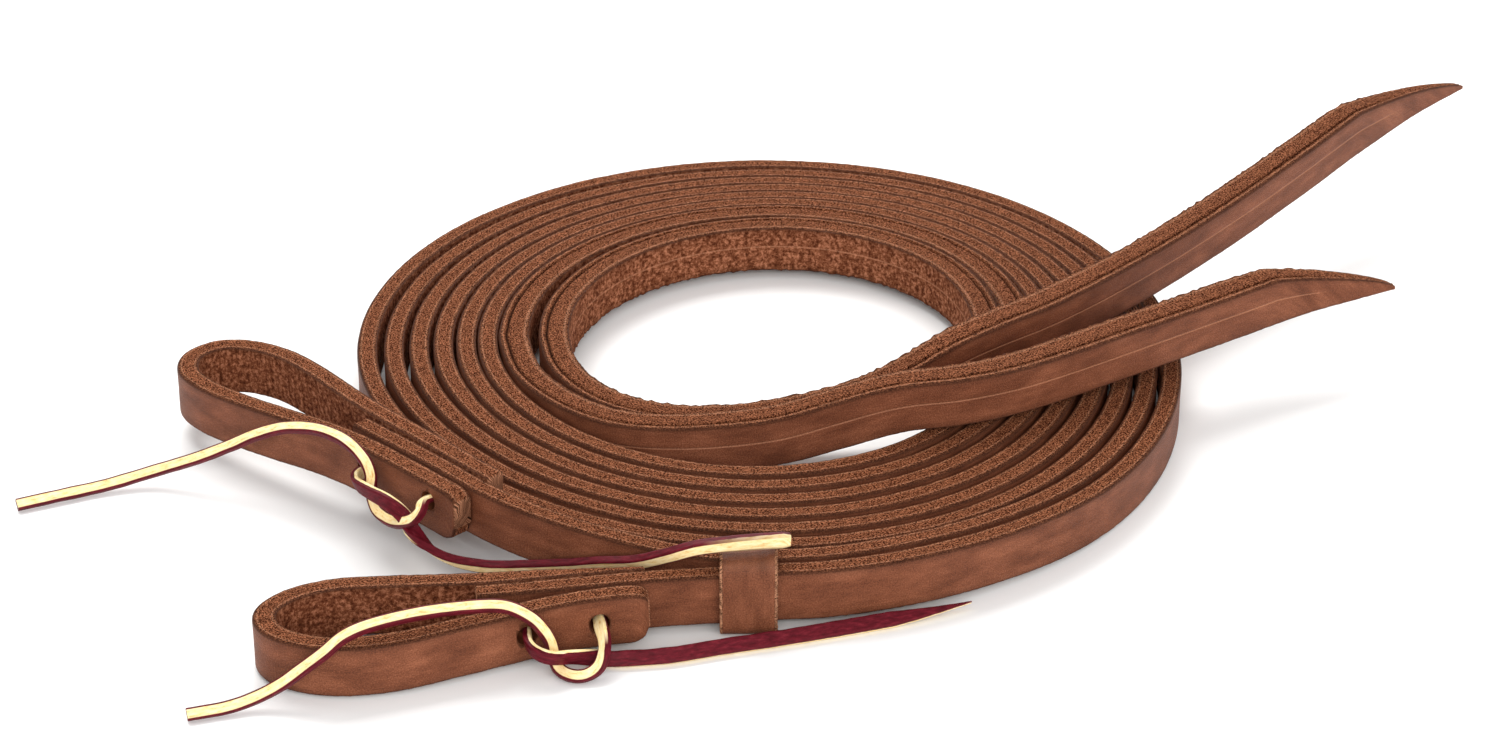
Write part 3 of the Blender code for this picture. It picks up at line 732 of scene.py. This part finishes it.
def leather(name, tint, grain_roughness):
    """Oiled harness leather: smooth grain face, fibrous cut edges and a napped flesh side."""
    nodes = Nodes(name)
    place = nodes.attribute("place").outputs["Vector"]
    marks, details = nodes.attribute("marks"), nodes.attribute("details")
    split = nodes.add("ShaderNodeSeparateColor")
    nodes.join(marks.outputs["Color"], split.inputs["Color"])
    edge, flesh, thick = split.outputs["Red"], split.outputs["Green"], split.outputs["Blue"]
    axes = nodes.add("ShaderNodeSeparateXYZ")
    nodes.join(details.outputs["Vector"], axes.inputs["Vector"])
    rounded, groove, rim = axes.outputs["X"], axes.outputs["Y"], axes.outputs["Z"]

    cloud, mottle = grain_pattern(nodes, place)
    rough = fibre_pattern(nodes, place)
    nap, wrinkles = flesh_pattern(nodes, place)
    grain = nodes.ramp(cloud, [(0.40, GRAIN_DARK), (0.5, GRAIN_MID), (0.61, GRAIN_LIGHT)])
    cut = nodes.ramp(rough, [(0.42, EDGE_DARK), (0.49, EDGE_MID), (0.57, EDGE_LIGHT)])
    inside = nodes.ramp(nap, [(0.41, FLESH_DARK), (0.5, FLESH_MID), (0.60, FLESH_LIGHT)])

    line = crease_line(nodes, marks.outputs["Alpha"], thick, edge, mottle)
    colour = nodes.mix(edge, nodes.mix(flesh, grain, inside), cut)
    colour = nodes.mix(nodes.maths("MULTIPLY", line, 0.55), colour, CREASE_COLOUR)
    speckled = nodes.maths("MULTIPLY", nodes.maths("SUBTRACT", rough, 0.40), 4.5, clamp=True)
    # Painted highlight, speckled, along the rims of the cut edges.
    colour = nodes.mix(nodes.maths("MULTIPLY", rim, speckled), colour, RIM_HIGHLIGHT_COLOUR)
    # Painted shade darkens the rounded corners and the groove along the cut edge.
    corner_shade = nodes.maths("MULTIPLY", rounded, 0.62)
    painted_shade = nodes.maths("MAXIMUM", corner_shade, nodes.maths("MULTIPLY", groove, 0.9))
    colour = nodes.mix(painted_shade, colour, PAINTED_SHADE_COLOUR)
    tinted = nodes.add("ShaderNodeHueSaturation")
    tinted.inputs["Value"].default_value = tint
    nodes.join(colour, tinted.inputs["Color"])
    nodes.join(tinted.outputs["Color"], nodes.shader.inputs["Base Color"])

    napped = nodes.maths("MAXIMUM", edge, flesh)
    roughness = nodes.maths("ADD", nodes.maths("MULTIPLY", napped, 0.25), grain_roughness)
    nodes.join(roughness, nodes.shader.inputs["Roughness"])
    shine = nodes.maths("SUBTRACT", 0.16, nodes.maths("MULTIPLY", napped, 0.14))
    nodes.join(shine, nodes.shader.inputs["Specular IOR Level"])
    fibre_height = nodes.maths("MULTIPLY", rough, nodes.maths("MULTIPLY", edge, 1.7))
    nap_height = nodes.maths("ADD", nap, wrinkles)
    nap_height = nodes.maths("MULTIPLY", nap_height, nodes.maths("MULTIPLY", flesh, 1.4))
    total = nodes.maths("ADD", fibre_height, nap_height)
    total = nodes.maths("ADD", total, nodes.maths("MULTIPLY", mottle, 0.6))
    total = nodes.maths("SUBTRACT", total, nodes.maths("MULTIPLY", line, 0.5))
    nodes.join(nodes.bump(total, 0.5 * MM, 1.0), nodes.shader.inputs["Normal"])
    return nodes.material


def grain_pattern(nodes, place):
    """Soft clouds over the smooth face, and the fine mottle that is also its relief."""
    clouds = nodes.noise(nodes.stretched(place, (0.6, 1.0, 1.0)), 130, 4)
    streaks = nodes.noise(nodes.stretched(place, (0.25, 1.0, 1.0)), 420, 4)
    mottle = nodes.noise(place, 2900, 3, 0.7)
    cloud = nodes.maths("ADD", nodes.maths("MULTIPLY", clouds, 0.3), nodes.maths("MULTIPLY", streaks, 0.2))
    return nodes.maths("ADD", cloud, nodes.maths("MULTIPLY", mottle, 0.5)), mottle


def fibre_pattern(nodes, place):
    """Cut fibres, a little longer along the strap than across it."""
    fibres = nodes.noise(nodes.stretched(place, (0.8, 1.0, 1.0)), 2500, 3, 0.85)
    tufts = nodes.noise(place, 500, 3)
    return nodes.maths("ADD", nodes.maths("MULTIPLY", fibres, 0.86), nodes.maths("MULTIPLY", tufts, 0.14))


def flesh_pattern(nodes, place):
    """Nap of the flesh side, and the upright wrinkles it has where the strap bends."""
    nap = nodes.noise(place, 800, 6, 0.8)
    wrinkles = nodes.noise(nodes.stretched(place, (1.0, 0.3, 1.0)), 480, 3)
    mixed = nodes.maths("ADD", nodes.maths("MULTIPLY", nap, 0.8), nodes.maths("MULTIPLY", wrinkles, 0.2))
    return mixed, wrinkles


def crease_line(nodes, height, thick, edge, mottle):
    """1 on the fine line pressed along both faces of the weighted end."""
    away = nodes.maths("ABSOLUTE", nodes.maths("SUBTRACT", height, CREASE_PLACE))
    line = nodes.maths("SUBTRACT", 1.2, nodes.maths("MULTIPLY", away, 44.0), clamp=True)
    broken = nodes.maths("MULTIPLY", nodes.maths("SUBTRACT", mottle, 0.25), 3.0, clamp=True)
    line = nodes.maths("MULTIPLY", nodes.maths("MULTIPLY", line, thick), broken)
    return nodes.maths("MULTIPLY", line, nodes.maths("SUBTRACT", 1.0, edge, clamp=True))


def latigo(name):
    """Latigo lace: one face dyed burgundy, the other pale, and a cut edge that is part of each."""
    nodes = Nodes(name)
    place = nodes.attribute("place").outputs["Vector"]
    split = nodes.add("ShaderNodeSeparateColor")
    nodes.join(nodes.attribute("marks").outputs["Color"], split.inputs["Color"])
    across, pale_share, beside = (split.outputs[name] for name in ("Red", "Green", "Blue"))
    streaks = nodes.noise(nodes.stretched(place, (0.3, 1.0, 1.0)), 1300, 5, 0.65)
    dyed = nodes.ramp(streaks, [(0.3, DYED_DARK), (0.55, DYED_MID), (0.75, DYED_LIGHT)])
    pale = nodes.ramp(streaks, [(0.28, PALE_DARK), (0.45, PALE_MID), (0.7, PALE_LIGHT)])
    uneven = nodes.maths("MULTIPLY", nodes.maths("SUBTRACT", streaks, 0.5), 0.3)
    reach = nodes.maths("ADD", nodes.maths("ADD", across, pale_share), uneven)
    is_pale = nodes.maths("MULTIPLY", nodes.maths("SUBTRACT", reach, 0.97), BOUNDARY_SHARPNESS, clamp=True)
    outside = nodes.maths("ADD", beside, nodes.maths("MULTIPLY", uneven, 0.5))
    outside = nodes.maths("SUBTRACT", outside, PALE_STRIP)
    border = nodes.maths("MULTIPLY", outside, BOUNDARY_SHARPNESS, clamp=True)
    bordered = nodes.maths("MULTIPLY", nodes.maths("SUBTRACT", 0.42, pale_share), 12.0, clamp=True)
    is_pale = nodes.maths("SUBTRACT", is_pale, nodes.maths("MULTIPLY", border, bordered), clamp=True)
    nodes.join(nodes.mix(is_pale, dyed, pale), nodes.shader.inputs["Base Color"])
    roughness = nodes.maths("ADD", nodes.maths("MULTIPLY", streaks, 0.2), 0.32)
    nodes.join(roughness, nodes.shader.inputs["Roughness"])
    nodes.shader.inputs["Specular IOR Level"].default_value = 0.1
    nodes.join(nodes.bump(streaks, 0.25 * MM, 0.6), nodes.shader.inputs["Normal"])
    return nodes.material


def floor_material():
    nodes = Nodes("pale_floor")
    nodes.shader.inputs["Base Color"].default_value = (0.93, 0.93, 0.93, 1.0)
    nodes.shader.inputs["Roughness"].default_value = 0.9
    nodes.shader.inputs["Specular IOR Level"].default_value = 0.1
    return nodes.material


# ---------------------------------------------------------------- scene


def add_floor():
    mesh = bpy.data.meshes.new("floor")
    corners = [(x * FLOOR_HALF, y * FLOOR_HALF, 0) for x, y in ((-1, -1), (1, -1), (1, 1), (-1, 1))]
    mesh.from_pydata(corners, [], [(0, 1, 2, 3)])
    mesh.materials.append(floor_material())
    obj = bpy.data.objects.new("floor", mesh)
    bpy.context.collection.objects.link(obj)
    obj.location.z = -FLOOR_DROP


def add_light(name, place, size, power, colour):
    data = bpy.data.lights.new(name, "AREA")
    data.shape = "RECTANGLE"
    data.size, data.size_y = size
    data.energy = power
    data.color = colour
    obj = bpy.data.objects.new(name, data)
    bpy.context.collection.objects.link(obj)
    obj.location = place
    obj.rotation_euler = (-Vector(place)).to_track_quat("-Z", "Y").to_euler()


def add_world():
    world = bpy.data.worlds.new("studio")
    bpy.context.scene.world = world
    world.use_nodes = True
    background = world.node_tree.nodes["Background"]
    background.inputs["Color"].default_value = (1.0, 1.0, 1.0, 1.0)
    background.inputs["Strength"].default_value = WORLD_STRENGTH


def add_camera():
    data = bpy.data.cameras.new("camera")
    data.lens = CAMERA_LENS
    data.sensor_width = 36
    data.dof.use_dof = False
    obj = bpy.data.objects.new("camera", data)
    bpy.context.collection.objects.link(obj)
    back = np.array((0, -math.cos(CAMERA_ELEVATION), math.sin(CAMERA_ELEVATION)))
    obj.location = CAMERA_TARGET + MODEL_SHIFT + back * CAMERA_DISTANCE
    obj.rotation_euler = (math.pi / 2 - CAMERA_ELEVATION, 0, 0)
    bpy.context.scene.camera = obj


def place_piece(obj, body, node):
    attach(obj, body)
    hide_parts(node)


def build():
    strap_leather = leather("harness_leather", 1.0, 0.5)
    loop_leather = leather("bit_loop_leather", 1.04, 0.52)
    keeper_leather = leather("keeper_leather", 0.95, 0.45)
    latigo_leather = latigo("latigo_leather")

    near_route = in_metres(NEAR_BIT_END) + coil(0) + in_metres(NEAR_FREE_END)
    far_route = in_metres(FAR_BIT_END) + coil(1) + in_metres(FAR_FREE_END)
    straps = (
        ("near_rein_strap", near_route, NEAR_HOLES, 1.0, NEAR_SLANT_LENGTH),
        ("far_rein_strap", far_route, FAR_HOLES, 2.0, FAR_SLANT_LENGTH),
    )
    for node, route, holes, seed, slant in straps:
        stations = smooth_route(route, STATION_STEP)
        obj = strap(f"{node}_leather", stations, slanted_end(slant), strap_leather, seed)
        place_piece(punch(obj, holes), "reins", node)

    loops = (
        ("near_bit_loop", NEAR_BIT_LOOP, NEAR_HOLES, 11.0),
        ("far_bit_loop", FAR_BIT_LOOP, FAR_HOLES, 12.0),
    )
    for node, points, holes, seed in loops:
        route = smooth_route(in_metres(points), LOOP_STEP)
        obj = strap(f"{node}_leather", route, rounded_end, loop_leather, seed)
        place_piece(punch(obj, holes), "reins", node)

    place_piece(keeper(keeper_leather), "keeper", "keeper")

    laces = (
        ("near_tie_lace", NEAR_LACE, NEAR_LACE_TURNS, 22 * MM, 0.08, 21.0),
        ("far_tie_lace", FAR_LACE, FAR_LACE_TURNS, 8 * MM, 0.8, 22.0),
    )
    for node, points, turns, taper, tip_share, seed in laces:
        obj, path = lace(f"{node}_flat", points, turns, taper, tip_share, latigo_leather, seed)
        place_piece(obj, "reins", node)

    add_floor()
    add_world()
    for light in LIGHTS:
        add_light(*light)
    add_camera()
    bpy.context.scene.view_settings.view_transform = "Standard"


build()
